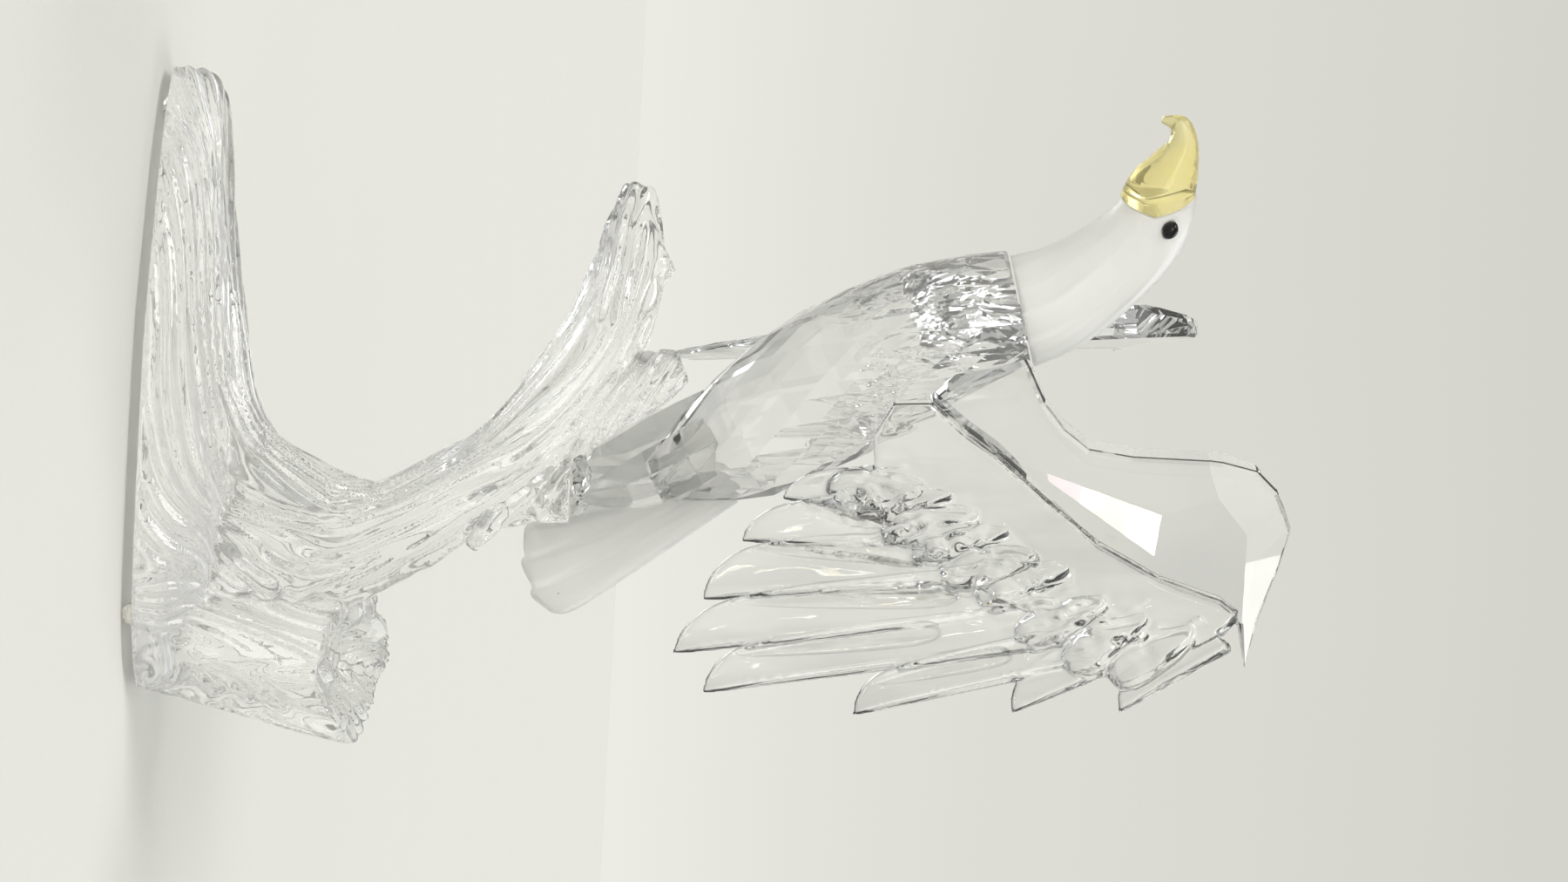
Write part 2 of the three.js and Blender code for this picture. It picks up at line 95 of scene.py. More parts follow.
# Shaders
class Shade:
    """One socket of a node tree, which can be used in sums."""

    def __init__(self, finish, socket):
        self.finish = finish
        self.socket = socket

    def maths(self, operation, *values):
        return self.finish.node("ShaderNodeMath", {"operation": operation}, values)

    def __add__(self, other):
        return self.maths("ADD", self, other)

    def __radd__(self, other):
        return self.maths("ADD", other, self)

    def __mul__(self, other):
        return self.maths("MULTIPLY", self, other)

    def __rmul__(self, other):
        return self.maths("MULTIPLY", other, self)

    def __truediv__(self, other):
        return self.maths("DIVIDE", self, other)

    def __pow__(self, other):
        return self.maths("POWER", self, other)

    def __abs__(self):
        return self.maths("ABSOLUTE", self)

    def sine(self):
        return self.maths("SINE", self)

    def at_most(self, limit):
        return self.maths("MINIMUM", self, limit)


# The colour sockets of a Mix node, which share their names with its other sockets
COLOUR_A, COLOUR_B, MIXED_COLOUR = 6, 7, 2


class Finish:
    """A node tree of a material or of the world, written as expressions."""

    def __init__(self, tree):
        self.tree = tree
        self.tree.nodes.clear()

    def node(self, kind, settings=None, values=(), output=0):
        """Any node: its settings come first, then the values or links of its sockets."""
        made = self.tree.nodes.new(kind)
        for name, value in (settings or {}).items():
            if name == "stops":
                ramp = made.color_ramp
                while len(ramp.elements) < len(value):
                    ramp.elements.new(0.5)
                for element, (place, colour) in zip(ramp.elements, value):
                    element.position = place
                    element.color = (*colour, 1)
            else:
                setattr(made, name, value)
        pairs = values.items() if isinstance(values, dict) else enumerate(values)
        for name, value in pairs:
            if isinstance(value, Shade):
                self.tree.links.new(value.socket, made.inputs[name])
            else:
                made.inputs[name].default_value = value
        return Shade(self, made.outputs[output] if made.outputs else None)

    def object_place(self):
        """Each point's place in its object."""
        return self.node("ShaderNodeTexCoord", output="Object")

    def facet_normal(self):
        """The flat normal of the facet that a point lies on."""
        return self.node("ShaderNodeNewGeometry", output="True Normal")

    def attribute(self, name):
        """A number that the mesh carries at each of its points."""
        return self.node("ShaderNodeAttribute", {"attribute_name": name}, output=2)

    def vector(self, operation, one, other, output="Vector"):
        return self.node("ShaderNodeVectorMath", {"operation": operation}, {0: one, 1: other}, output)

    def noise(self, where, scale, detail, roughness=0.5, distortion=0.0):
        return self.node(
            "ShaderNodeTexNoise",
            {},
            {
                "Vector": where,
                "Scale": scale,
                "Detail": detail,
                "Roughness": roughness,
                "Distortion": distortion,
            },
        )

    def between(self, share, low, high, blend="MIX"):
        """A colour between two colours, each of them a socket or three numbers."""
        low, high = ((*colour, 1) if isinstance(colour, tuple) else colour for colour in (low, high))
        return self.node(
            "ShaderNodeMix",
            {"data_type": "RGBA", "blend_type": blend},
            {"Factor": share, COLOUR_A: low, COLOUR_B: high},
            MIXED_COLOUR,
        )

    def times(self, one, other):
        """The product of two colours."""
        return self.between(1.0, one, other, "MULTIPLY")

    def ramp(self, share, *stops):
        return self.node("ShaderNodeValToRGB", {"stops": stops}, {0: share})

    def bump(self, height, strength, distance):
        return self.node("ShaderNodeBump", {}, {"Strength": strength, "Distance": distance, "Height": height})


def material(name):
    made = bpy.data.materials.new(name)
    made.use_nodes = True
    return made, Finish(made.node_tree)


def surface(finish, **values):
    """The Principled shader, with base_color and the like for its sockets' names."""
    named = {name.replace("_", " ").title().replace("Ior", "IOR"): value for name, value in values.items()}
    shader = finish.node("ShaderNodeBsdfPrincipled", {}, named)
    finish.node("ShaderNodeOutputMaterial", {}, {0: shader})


# The small scales on the breast: the body's heading, where they begin and end along it, and how fine they are
BODY_AXIS = (0.0, -0.53, 0.848)
SCALES_SPAN = (0.084, 0.098)
SCALES_PER_METRE = 210
# How much longer than wide a scale is drawn, how steep its bevel rises, and how far it tilts and stands out
SCALE_STRETCH = (1, 1, 0.62)
SCALE_BEVEL = 7
SCALE_TILT = 0.05
SCALE_HEIGHT = 0.1 * MM
# A facet's painted shade is drawn from its normal, rounded to this step
PAINTED_SHADE_STEP = 0.03
# The fine lines that the stump's grain has in each ring
LINES_PER_RING = 2


def grey(value):
    return (value, value, value)


def cut_crystal():
    """Cut and polished crystal: each facet gets its own faint grey of painted shade, with soft blotches of
    painted shade across the facets, and handling leaves faint matt marks.
    """
    made, finish = material("cut_clear_crystal")
    where = finish.object_place()
    # Painted shade: greys by facet and soft blotches stand in for shadows and darker surroundings seen
    # through the glass
    share = 0.6 * finish.noise(finish.facet_normal(), 2.3, 1) + 0.4 * finish.noise(where, 42, 2)
    marks = finish.noise(where, 420, 4, 0.65)
    surface(
        finish,
        base_color=finish.ramp(
            share,
            (0.38, (0.84, 0.845, 0.85)),
            (0.5, (0.93, 0.935, 0.93)),
            (0.6, (0.995, 0.995, 0.985)),
        ),
        roughness=0.012 + 0.02 * marks**6,
        ior=1.46,
        transmission_weight=0.97,
    )
    return made


def scaled_crystal():
    """Cut crystal of the body: small tilted facets with fine bevels cover it towards the neck, and each facet
    has its own painted shade.
    """
    made, finish = material("scaled_clear_crystal")
    where = finish.object_place()
    drawn_out = finish.vector("MULTIPLY", where, SCALE_STRETCH)
    cells = {"Vector": drawn_out, "Scale": SCALES_PER_METRE, "Randomness": 0.8}
    edge = finish.node("ShaderNodeTexVoronoi", {"feature": "DISTANCE_TO_EDGE"}, cells)
    chance = finish.node("ShaderNodeTexVoronoi", {}, cells, output="Color")
    middle = finish.node("ShaderNodeTexVoronoi", {}, cells, output="Position")
    away = finish.vector("SUBTRACT", drawn_out, middle)
    lean = finish.vector("SUBTRACT", chance, (0.5, 0.5, 0.5))
    tilt = finish.vector("DOT_PRODUCT", away, lean, output="Value")
    along = finish.vector("DOT_PRODUCT", where, tuple(turned([BODY_AXIS])[0]), output="Value")
    start, end = SCALES_SPAN
    mask = finish.node(
        "ShaderNodeMapRange",
        {"interpolation_type": "SMOOTHSTEP"},
        {"Value": along, "From Min": start, "From Max": end},
    )
    plateau = (edge * SCALE_BEVEL).at_most(1.0)
    # Painted shade: each facet's grey, from its rounded normal, with soft blotches, stands in for shadows and
    # darker surroundings seen through the glass
    facet = finish.vector("SNAP", finish.facet_normal(), (PAINTED_SHADE_STEP, PAINTED_SHADE_STEP, PAINTED_SHADE_STEP))
    tint = finish.node("ShaderNodeTexWhiteNoise", {}, {"Vector": facet})
    share = 0.8 * tint + 0.2 * finish.noise(where, 42, 2)
    surface(
        finish,
        base_color=finish.ramp(
            share,
            (0.12, (0.86, 0.865, 0.865)),
            (0.5, (0.95, 0.95, 0.945)),
            (0.8, (0.995, 0.995, 0.985)),
        ),
        roughness=0.012 + 0.01 * mask,
        ior=1.4,
        transmission_weight=0.9,
        normal=finish.bump(mask * (SCALE_TILT * tilt + SCALE_HEIGHT * plateau), 1.0, 1.0),
    )
    return made


def feather_crystal():
    """Moulded crystal of the feathers: soft grey streaks of painted shade run down them, and the quill
    grooves are darkened with painted shade.
    """
    made, finish = material("feather_clear_crystal")
    where = finish.object_place()
    drawn_out = finish.vector("MULTIPLY", where, (1, 1, 0.2))
    streak = finish.noise(drawn_out, 170, 3, 0.55, 0.5)
    cloud = finish.noise(where, 48, 2)
    quill = finish.attribute("quill")
    # Painted shade: grey streaks and clouds stand in for shadows and darker surroundings seen through the
    # glass
    melt = finish.ramp(
        0.6 * streak + 0.4 * cloud,
        (0.36, (0.85, 0.855, 0.855)),
        (0.5, (0.94, 0.945, 0.94)),
        (0.62, (0.995, 0.995, 0.985)),
    )
    # Painted shade in the quill grooves, in place of the dark refraction of their walls
    painted_groove_shade = finish.ramp(finish.noise(drawn_out, 900, 2), (0.4, (0.3, 0.3, 0.28)), (0.6, (0.9, 0.9, 0.88)))
    surface(
        finish,
        base_color=finish.between(quill, melt, painted_groove_shade),
        roughness=0.014 + 0.01 * streak,
        ior=1.48,
        transmission_weight=0.98,
        normal=finish.bump(finish.noise(where, 150, 2), 1.0, 0.06 * MM),
    )
    return made


def driftwood_crystal():
    """Moulded crystal of the stump: fine lines follow the grain that is carved in its mesh."""
    made, finish = material("driftwood_clear_crystal")
    where = finish.object_place()
    rings = finish.attribute("grain")
    lines = (rings * (2 * math.pi * LINES_PER_RING)).sine()
    melt = finish.noise(where, 60, 3)
    surface(
        finish,
        base_color=finish.ramp(melt, (0.35, (0.985, 0.988, 0.985)), (0.65, (1, 1, 0.998))),
        roughness=0.014 + 0.012 * melt,
        ior=1.5,
        transmission_weight=0.93,
        normal=finish.bump(lines, 1.0, 0.02 * MM),
    )
    return made


def satin_crystal():
    """Etched crystal: milky, with a silky drift of gloss."""
    made, finish = material("satin_crystal")
    where = finish.object_place()
    etch = finish.noise(where, 900, 3, 0.7)
    silk = finish.noise(where, 90, 3)
    surface(
        finish,
        base_color=finish.ramp(silk, (0.3, (0.975, 0.975, 0.95)), (0.7, (1, 1, 0.98))),
        roughness=0.22 + 0.12 * silk + 0.05 * etch,
        ior=1.42,
        transmission_weight=0.48,
        subsurface_weight=0.6,
        subsurface_radius=(1, 1, 1),
        subsurface_scale=3 * MM,
        normal=finish.bump(etch, 0.5, 0.02 * MM),
    )
    return made


def yellow_crystal():
    """Clear golden crystal of the beak, a little streaky."""
    made, finish = material("yellow_crystal")
    where = finish.object_place()
    streak = finish.noise(where, 130, 3)
    surface(
        finish,
        base_color=finish.ramp(streak, (0.3, (1, 0.88, 0.38)), (0.7, (1, 0.94, 0.56))),
        roughness=0.02 + 0.03 * streak,
        ior=1.33,
        transmission_weight=0.86,
        normal=finish.bump(streak, 0.5, 0.03 * MM),
    )
    return made


def black_crystal():
    """Glossy black of the eyes, with a trace of dust."""
    made, finish = material("black_crystal")
    where = finish.object_place()
    dust = finish.noise(where, 1600, 3, 0.7)
    surface(
        finish,
        base_color=finish.ramp(dust, (0.4, grey(0.002)), (0.8, (0.01, 0.01, 0.011))),
        roughness=0.02 + 0.03 * dust,
        ior=1.36,
        normal=finish.bump(dust, 0.3, 0.01 * MM),
    )
    return made


def pad_plastic():
    """Soft clear plastic of the foot pads."""
    made, finish = material("pad_plastic")
    where = finish.object_place()
    cloud = finish.noise(where, 500, 3)
    surface(
        finish,
        base_color=finish.ramp(cloud, (0.3, (0.9, 0.87, 0.78)), (0.7, (0.97, 0.96, 0.9))),
        roughness=0.14 + 0.1 * cloud,
        ior=1.42,
        transmission_weight=0.85,
        normal=finish.bump(cloud, 0.4, 0.03 * MM),
    )
    return made


def paper():
    """Pale matt paper of the floor."""
    made, finish = material("pale_paper")
    where = finish.object_place()
    fibre = finish.noise(where, 700, 4, 0.6)
    cloud = finish.noise(where, 9, 2)
    surface(
        finish,
        base_color=finish.between(0.7 * fibre + 0.3 * cloud, (0.726, 0.721, 0.682), (0.763, 0.758, 0.718)),
        roughness=0.9,
        normal=finish.bump(fibre, 0.25, 0.1 * MM),
    )
    return made


cut_clear = cut_crystal()
scaled_clear = scaled_crystal()
feather_clear = feather_crystal()
driftwood_clear = driftwood_crystal()
satin = satin_crystal()
yellow = yellow_crystal()
black = black_crystal()
pad_clear = pad_plastic()


# Forms
def through(rows):
    """Values that run smoothly through rows of numbers, from the first at 0 to the last at 1."""
    rows = np.asarray(rows, float)
    last = len(rows) - 1

    def at(share):
        place = np.clip(np.asarray(share, float), 0, 1) * last
        i = np.minimum(place.astype(int), last - 1)
        p = (place - i)[:, None]
        a, b = rows[i], rows[i + 1]
        before = rows[np.where(i > 0, i - 1, 1)]
        after = rows[np.where(i < last - 1, i + 2, last - 1)]
        return 0.5 * (
            2 * a
            + (b - before) * p
            + (2 * before - 5 * a + 4 * b - after) * p**2
            + (3 * a - before - 3 * b + after) * p**3
        )

    return at


def unit(vectors):
    return vectors / np.linalg.norm(vectors, axis=-1, keepdims=True)


def closed_tube(sides, steps, place):
    """A closed solid: place(share, angle, reach) gives each point, with reach 0 at an end's middle."""
    share = np.repeat(np.linspace(0, 1, steps + 1), sides)
    angle = np.tile(np.arange(sides) * 2 * np.pi / sides, steps + 1)
    skin = place(share, angle, np.ones(len(share)))
    ends = place(np.array([0.0, 1.0]), np.zeros(2), np.zeros(2))
    points = np.vstack([skin, ends])
    foot, top = len(skin), len(skin) + 1
    faces = []
    for step in range(steps):
        for side in range(sides):
            a, b = step * sides + side, step * sides + (side + 1) % sides
            faces.append((a, b, b + sides, a + sides))
    for side in range(sides):
        after = (side + 1) % sides
        faces.append((foot, after, side))
        faces.append((top, steps * sides + side, steps * sides + after))
    return points, faces


def limb(rows, sides, steps, relief=None):
    """A limb along rows of x, y, z, half width across X and half thickness in the bending plane."""
    at = through(rows)

    def place(share, angle, reach):
        here = at(share)
        tangent = unit(at(share + 0.01)[:, :3] - at(share - 0.01)[:, :3])
        side = unit(np.array([1.0, 0, 0]) - tangent * tangent[:, :1])
        up = np.cross(tangent, side)
        swell = reach * (1 + (relief(share, angle) if relief else 0))
        across = here[:, 3] * swell * np.cos(angle)
        raised = here[:, 4] * swell * np.sin(angle)
        return here[:, :3] + side * across[:, None] + up * raised[:, None]

    return closed_tube(sides, steps, place)


def grain(flutes, depth, wander):
    """Flutes that wander along a limb and fade out at its ends."""

    def relief(share, angle):
        waves = np.cos(flutes * angle + wander * np.sin(5 * share))
        return depth * waves * np.clip(6 * share, 0, 1) * np.clip(6 - 6 * share, 0, 1)

    return relief


def extruded(outline, thickness):
    """A flat plate of an outline, as (points, faces), centred on its plane."""
    flat = np.asarray(outline, float)
    n = len(flat)
    low = np.column_stack([flat, np.full(n, -thickness / 2)])
    high = np.column_stack([flat, np.full(n, thickness / 2)])
    faces = [tuple(range(n - 1, -1, -1)), tuple(range(n, 2 * n))]
    faces += [(i, (i + 1) % n, (i + 1) % n + n, i + n) for i in range(n)]
    return np.vstack([low, high]), faces


def half_space(point, direction):
    """A box, larger than the figure, that fills the side of a point that a direction looks to."""
    size = 160.0
    d =unit(np.asarray(direction, float))
    a = unit(np.cross(d, [0.0, 0.0, 1.0] if abs(d[2]) < 0.9 else [1.0, 0, 0]))
    b = np.cross(d, a)
    corners = []
    for depth in (0, size):
        for s, t in ((-1, -1), (1, -1), (1, 1), (-1, 1)):
            corners.append(np.asarray(point, float) + d * depth + (a * s + b * t) * size / 2)
    faces = [(3, 2, 1, 0), (4, 5, 6, 7), (0, 1, 5, 4), (1, 2, 6, 5), (2, 3, 7, 6), (3, 0, 4, 7)]
    return np.array(corners), faces


def mesh_object(name, solids, carry=placed, smooth=True):
    """One object from several closed solids, each with its faces turned out."""
    points, faces, start = [], [], 0
    for solid_points, solid_faces in solids:
        points.append(carry(solid_points))
        faces += [tuple(i + start for i in face) for face in solid_faces]
        start += len(solid_points)
    mesh = bpy.data.meshes.new(name)
    mesh.from_pydata(np.vstack(points).tolist(), [], faces)
    form = bmesh.new()
    form.from_mesh(mesh)
    bmesh.ops.remove_doubles(form, verts=form.verts, dist=1e-7)
    bmesh.ops.recalc_face_normals(form, faces=form.faces)
    form.to_mesh(mesh)
    form.free()
    for polygon in mesh.polygons:
        polygon.use_smooth = smooth
    made = bpy.data.objects.new(name, mesh)
    scene.collection.objects.link(made)
    return made


def settled(piece):
    """Applies a piece's modifiers to its mesh."""
    graph = bpy.context.evaluated_depsgraph_get()
    graph.update()
    mesh = bpy.data.meshes.new_from_object(piece.evaluated_get(graph))
    piece.modifiers.clear()
    old = piece.data
    piece.data = mesh
    bpy.data.meshes.remove(old)
    mesh.name = piece.name


def fused(piece, grid, soften):
    """Melts a piece's closed solids into one, on a grid in millimetres, and softens its creases."""
    melt = piece.modifiers.new("melt", "REMESH")
    melt.mode = "VOXEL"
    melt.voxel_size = grid * MM
    melt.use_smooth_shade = True
    ease = piece.modifiers.new("ease", "SMOOTH")
    ease.factor = 0.5
    ease.iterations = soften
    settled(piece)


def discard(piece):
    mesh = piece.data
    bpy.data.objects.remove(piece)
    bpy.data.meshes.remove(mesh)


def cut(piece, tool, operation="DIFFERENCE"):
    """Cuts a piece with a tool, or joins the two, and discards the tool."""
    knife = piece.modifiers.new("cut", "BOOLEAN")
    knife.operation = operation
    knife.solver = "EXACT"
    knife.object = tool
    settled(piece)
    discard(tool)


def read_points(piece, what):
    """A vector for each point of a piece: its place with co, its normal with normal."""
    flat = np.empty(len(piece.data.vertices) * 3)
    piece.data.vertices.foreach_get(what, flat)
    return flat.reshape(-1, 3)


def move_points(piece, points):
    piece.data.vertices.foreach_set("co", points.ravel())
    piece.data.update()


def mark_points(piece, name, values):
    """Keeps a number for each point in the mesh, for the material to read."""
    piece.data.attributes.new(name, "FLOAT", "POINT").data.foreach_set("value", values)


def hashed(i, j, k):
    """A number between 0 and 1 for each cell of a grid, as good as random and always the same."""
    mixed = (i * 374761393 + j * 668265263 + k * 2147483647 + 974634777) & 0xFFFFFFFF
    mixed = ((mixed ^ (mixed >> 13)) * 1274126177) & 0xFFFFFFFF
    return ((mixed ^ (mixed >> 16)) & 0xFFFF) / 65535.0


def drift(points):
    """Smooth noise between -1 and 1 at points, with cells of size 1."""
    cell = np.floor(points).astype(np.int64)
    f = points - cell
    f = f * f * (3 - 2 * f)
    total = np.zeros(len(points))
    for dx in (0, 1):
        for dy in (0, 1):
            for dz in (0, 1):
                share = (
                    np.where(dx, f[:, 0], 1 - f[:, 0])
                    * np.where(dy, f[:, 1], 1 - f[:, 1])
                    * np.where(dz, f[:, 2], 1 - f[:, 2])
                )
                total += share * hashed(cell[:, 0] + dx, cell[:, 1] + dy, cell[:, 2] + dz)
    return 2 * total - 1


def step(low, high, value):
    """A smooth rise from 0 at low to 1 at high."""
    t =np.clip((value - low) / (high - low), 0, 1)
    return t * t * (3 - 2 * t)


def dressed(piece, finish, slot, *nodes):
    """Gives a piece its finish and sets it in the place of the nodes that it replaces."""
    piece.data.materials.clear()
    piece.data.materials.append(finish)
    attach(piece, "root")
    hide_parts(*nodes)


# Driftwood stump. The base's rows are y, middle in x, half width and top; the limbs' rows are those of limb
UNDERSIDE = 2.8
STUMP_GRID = 0.46
# The grooves of the grain, how far the wood is raised to make up for them, and the lumps between them
GROOVE_DEPTH = 0.72
GROOVES_RAISED = 0.14
LUMP_HEIGHT = 0.5
# The hollow in the log's broken end, in x and y
HOLLOW_MIDDLE = (-6, 34.5)
HOLLOW_RADII = (12.2, 11.2)
HOLLOW_DEPTH = 3.4
base_rows = [
    [-48.6, -3, 3.2, 7.2],
    [-46, -3, 6.5, 9.6],
    [-37, -1.5, 9.5, 11],
    [-25, -1.5, 13, 12],
    [-12, -2, 16.5, 13.6],
    [2, -2.5, 17.5, 15.4],
    [16, -3, 17.5, 15],
    [28, -3.5, 16.5, 13],
    [36, -4.5, 13.5, 10.5],
    [39.6, -5, 9, 8],
]
trunk_rows = [
    [-4, 18, 3, 12, 12],
    [-3, 18.5, 15, 11, 11.5],
    [-1.5, 18.5, 27, 9.5, 8.6],
    [0, 15.4, 37, 8.2, 6.9],
    [0, 9.6, 46.3, 7.6, 6.2],
    [0, 3.4, 53.6, 7.6, 5.9],
    [-1, -5.6, 60.4, 8, 6.1],
    [-2, -14, 65.6, 7.6, 5.9],
    [-3, -22, 68.2, 6.2, 5.2],
    [-3, -29.5, 69, 4.6, 4],
    [-3, -35.6, 69.6, 2.4, 2.2],
]
fork_rows = [
    [1, 2, 58, 4.5, 4.5],
    [2, -3.5, 66, 4.4, 4.4],
    [2.5, -8, 73, 4, 3.9],
    [2.5, -10, 77, 2.6, 2.6],
]
knob_rows = [
    [-3, -21, 66, 4, 4],
    [-2.5, -23.5, 70.5, 3.8, 3.6],
    [-2.5, -25.5, 74, 2, 2],
]
bend_rows = [
    [-2, -16, 8.5, 12, 4.5],
    [-2, -8, 10.2, 11.6, 4.6],
    [-1.5, -1, 12, 11.2, 4.7],
    [-1, 5.6, 16.4, 10.4, 4.8],
    [-0.5, 9.6, 22.5, 9.6, 4.7],
    [0, 12.4, 30, 8.2, 4.2],
    [0, 13.2, 36, 6.6, 3.6],
]
perch_rows = [
    [1, 12, 45, 4.5, 3.5],
    [-1, 10.5, 51, 7, 4.2],
    [-3, 8.8, 56.5, 8.4, 4.8],
    [-3, 8, 64, 8.6, 5],
]
twig_rows = [
    [2, 8, 52.5, 2.6, 2.6],
    [4, 13.5, 51, 2.5, 2.3],
    [4.5, 17.4, 48.2, 1.5, 1.4],
]
log_rows = [
    [-6, 26.4, 3, 14.5, 12.6],
    [-6, 29.4, 14, 14, 12],
    [-6, 33.2, 26, 13, 11.6],
    [-6, 36.8, 40, 12, 10.8],
]
PERCH_TOP = 61.8
BREAK_POINT = np.array([-6.0, 34.0, 32.2])
BREAK_FACE = unit(np.array([0.28, 0.06, 1.0]))
# The grain's path, from the low tip along the base, round the bend and up the trunk, as [y, z]
grain_path = [
    [-52, 5],
    [-36, 5.5],
    [-18, 6],
    [0, 8],
    [12, 13],
    [18.5, 27],
    [15.4, 37],
    [9.6, 46.3],
    [3.4, 53.6],
    [-5.6, 60.4],
    [-14, 65.6],
    [-22, 68.2],
    [-29.5, 69],
    [-40, 69.8],
]


def base_slab():
    """The base with its flat underside and its rounded, fluted top."""
    at =through(base_rows)

    def place(share, angle, reach):
        y, middle, half_width, top = at(share).T
        cosine, sine = np.cos(angle), np.sin(angle)
        flute = 1 + 0.035 * np.cos(9 * angle + 3 * np.sin(5 * share))
        x = middle + reach * half_width * np.sign(cosine) * np.abs(cosine) ** 0.75
        above = (top - UNDERSIDE) * flute * reach * np.abs(sine) ** 0.8
        z = UNDERSIDE + np.where(sine > 0, above, 2 * reach * sine)
        return np.column_stack([x, y, z])

    return closed_tube(64, 60, place)


def along_grain(points):
    """For each point, how far along the grain it lies, and how far to the side of the path."""
    stations, at_once = 260, 8000
    path = through(grain_path)(np.linspace(0, 1, stations))
    heading = unit(np.gradient(path, axis=0))
    length = np.concatenate([[0], np.cumsum(np.linalg.norm(np.diff(path, axis=0), axis=1))])
    flat = points[:, 1:3]
    nearest = np.empty(len(flat), int)
    for start in range(0, len(flat), at_once):
        block = flat[start : start + at_once]
        nearest[start : start + at_once] = ((block[:, None, :] - path[None]) ** 2).sum(2).argmin(1)
    away = flat - path[nearest]
    side = away[:, 0] * heading[nearest, 1] - away[:, 1] * heading[nearest, 0]
    return length[nearest] + (away * heading[nearest]).sum(1), side


def carve_grain(piece):
    """Long wandering grooves that follow the wood, and a hollow broken end on the log."""
    points = (read_points(piece, "co") - drawn_origin) / MM
    normals = read_points(piece, "normal")
    x, y, z = points.T
    along, side = along_grain(points)
    on_log = step(19, 30, y - 0.25 * z)
    side_log = 0.9 * (y - 30) + 0.35 * x
    u = along * (1 - on_log) + z * on_log
    v = side * (1 - on_log) + side_log * on_log
    sway = drift(np.column_stack([v * 0.11, x * 0.11, u * 0.03])) * 1.7
    sway += drift(np.column_stack([v * 0.25 + 9, x * 0.25, u * 0.06])) * 0.35
    rings = 0.4 * v + 0.27 * x + sway
    depth = GROOVE_DEPTH * (0.5 + 0.5 * np.cos(2 * np.pi * rings)) ** 1.5
    lumps = LUMP_HEIGHT * drift(np.column_stack([v * 0.18, x * 0.18, u * 0.05 + 20]))
    flat_underside = 1 - step(UNDERSIDE + 0.2, UNDERSIDE + 1.6, z)
    on_perch = step(PERCH_TOP - 0.8, PERCH_TOP - 0.2, z) * (normals[:, 2] > 0.8) * (y > 0)
    still = np.clip(1 - flat_underside - on_perch, 0, 1)
    moved = points - normals * ((depth - GROOVES_RAISED - lumps) * still)[:, None]
    height = (points - BREAK_POINT) @ BREAK_FACE
    end = step(-1.2, -0.2, height) * (normals @ BREAK_FACE > 0.4) * (y > 18)
    reach = np.hypot((x - HOLLOW_MIDDLE[0]) / HOLLOW_RADII[0], (y - HOLLOW_MIDDLE[1]) / HOLLOW_RADII[1])
    hollow = HOLLOW_DEPTH * (1 - step(0.25, 0.86, reach))
    hollow = hollow + 0.6 * drift(points * 0.3) + 0.12 * drift(points * 0.8)
    moved -= BREAK_FACE * (np.clip(hollow, -0.2, 4) * end)[:, None]
    moved[:, 2] = np.maximum(moved[:, 2], UNDERSIDE)
    move_points(piece, placed(moved))
    mark_points(piece, "grain", rings)


def stump():
    def squared(share, angle):
        return -0.12 * np.cos(4 * (angle + 0.6)) + 0.03 * np.cos(11 * angle + 4 * share)

    log =mesh_object("log", [limb(log_rows, 64, 24, squared)])
    cut(log, mesh_object("break", [half_space(BREAK_POINT, BREAK_FACE)]))
    perch = mesh_object("perch", [limb(perch_rows, 48, 20, grain(6, 0.05, 4))])
    cut(perch, mesh_object("perch_top", [half_space([0, 0, PERCH_TOP], [0, 0, 1])]))
    made = mesh_object(
        "stump_grain",
        [
            base_slab(),
            limb(trunk_rows, 64, 90, grain(7, 0.07, 3)),
            limb(bend_rows, 48, 40, grain(6, 0.05, 3)),
            limb(fork_rows, 36, 24, grain(4, 0.07, 2)),
            limb(knob_rows, 28, 14),
            limb(twig_rows, 24, 14),
        ],
    )
    form = bmesh.new()
    for wood in (made, log, perch):
        form.from_mesh(wood.data)
    form.to_mesh(made.data)
    form.free()
    discard(log)
    discard(perch)
    fused(made, STUMP_GRID, 3)
    carve_grain(made)
    dressed(made, driftwood_clear, "clear_crystal", "stump")


stump()

# Wing feathers, drawn on the wing's plane as [out along the span, height]
FEATHER_GRID = 0.27
FEATHER_THICKNESS = 2.6
ROOT_BAND_THICKNESS = 2.4
COVERT_LENGTH = 13
COVERT_HALF_WIDTH = 3.6
COVERT_THICKNESS = FEATHER_THICKNESS * 1.7
# Every other feather is lifted by this share of its thickness
STAGGER = 0.2
FEATHER_RIM = 0.55
FEATHER_TILT = 0.1
VANE_RIM = 0.25
VANE_TILT = 0.1
MELT_DEPTH = 1.25
seam = [
    [40, 149.5],
    [37.5, 147.3],
    [33.7, 139.7],
    [27.7, 132.2],
    [19.9, 125.8],
    [12, 119.7],
    [7.9, 115.8],
    [2, 111],
]
band_edge = [
    [2, 106],
    [8, 103],
    [14.6, 103.1],
    [23.3, 103.6],
    [29.5, 112.7],
    [37, 120.3],
    [41.5, 129.1],
    [44.4, 135.5],
    [44.9, 143.3],
    [42.5, 147.4],
]
# Each feather: the root and tip of its inner edge, the root and tip of its outer edge, and how blunt it ends
feather_rows = [
    [13.4, 107, 13.8, 90.9, 21.3, 107, 18.8, 90.6, 5],
    [18.8, 111, 18.8, 85.6, 28, 111, 26.1, 85.2, 5],
    [25.1, 116, 26.3, 80.8, 33.4, 116, 35.9, 80.2, 8],
    [30.8, 121, 36.3, 77.5, 39.9, 121, 44.6, 76.6, 11],
    [36.9, 127, 43.8, 81.2, 44.4, 127, 51, 80.5, 16],
    [40.7, 132, 48.7, 99.7, 47.3, 132, 54.9, 99.6, 14],
    [37.4, 137.5, 49.6, 118.6, 44.8, 141, 55, 119.6, 9],
    [40.8, 144, 48.6, 132.6, 45.8, 148.2, 55.3, 132.9, 8],
]
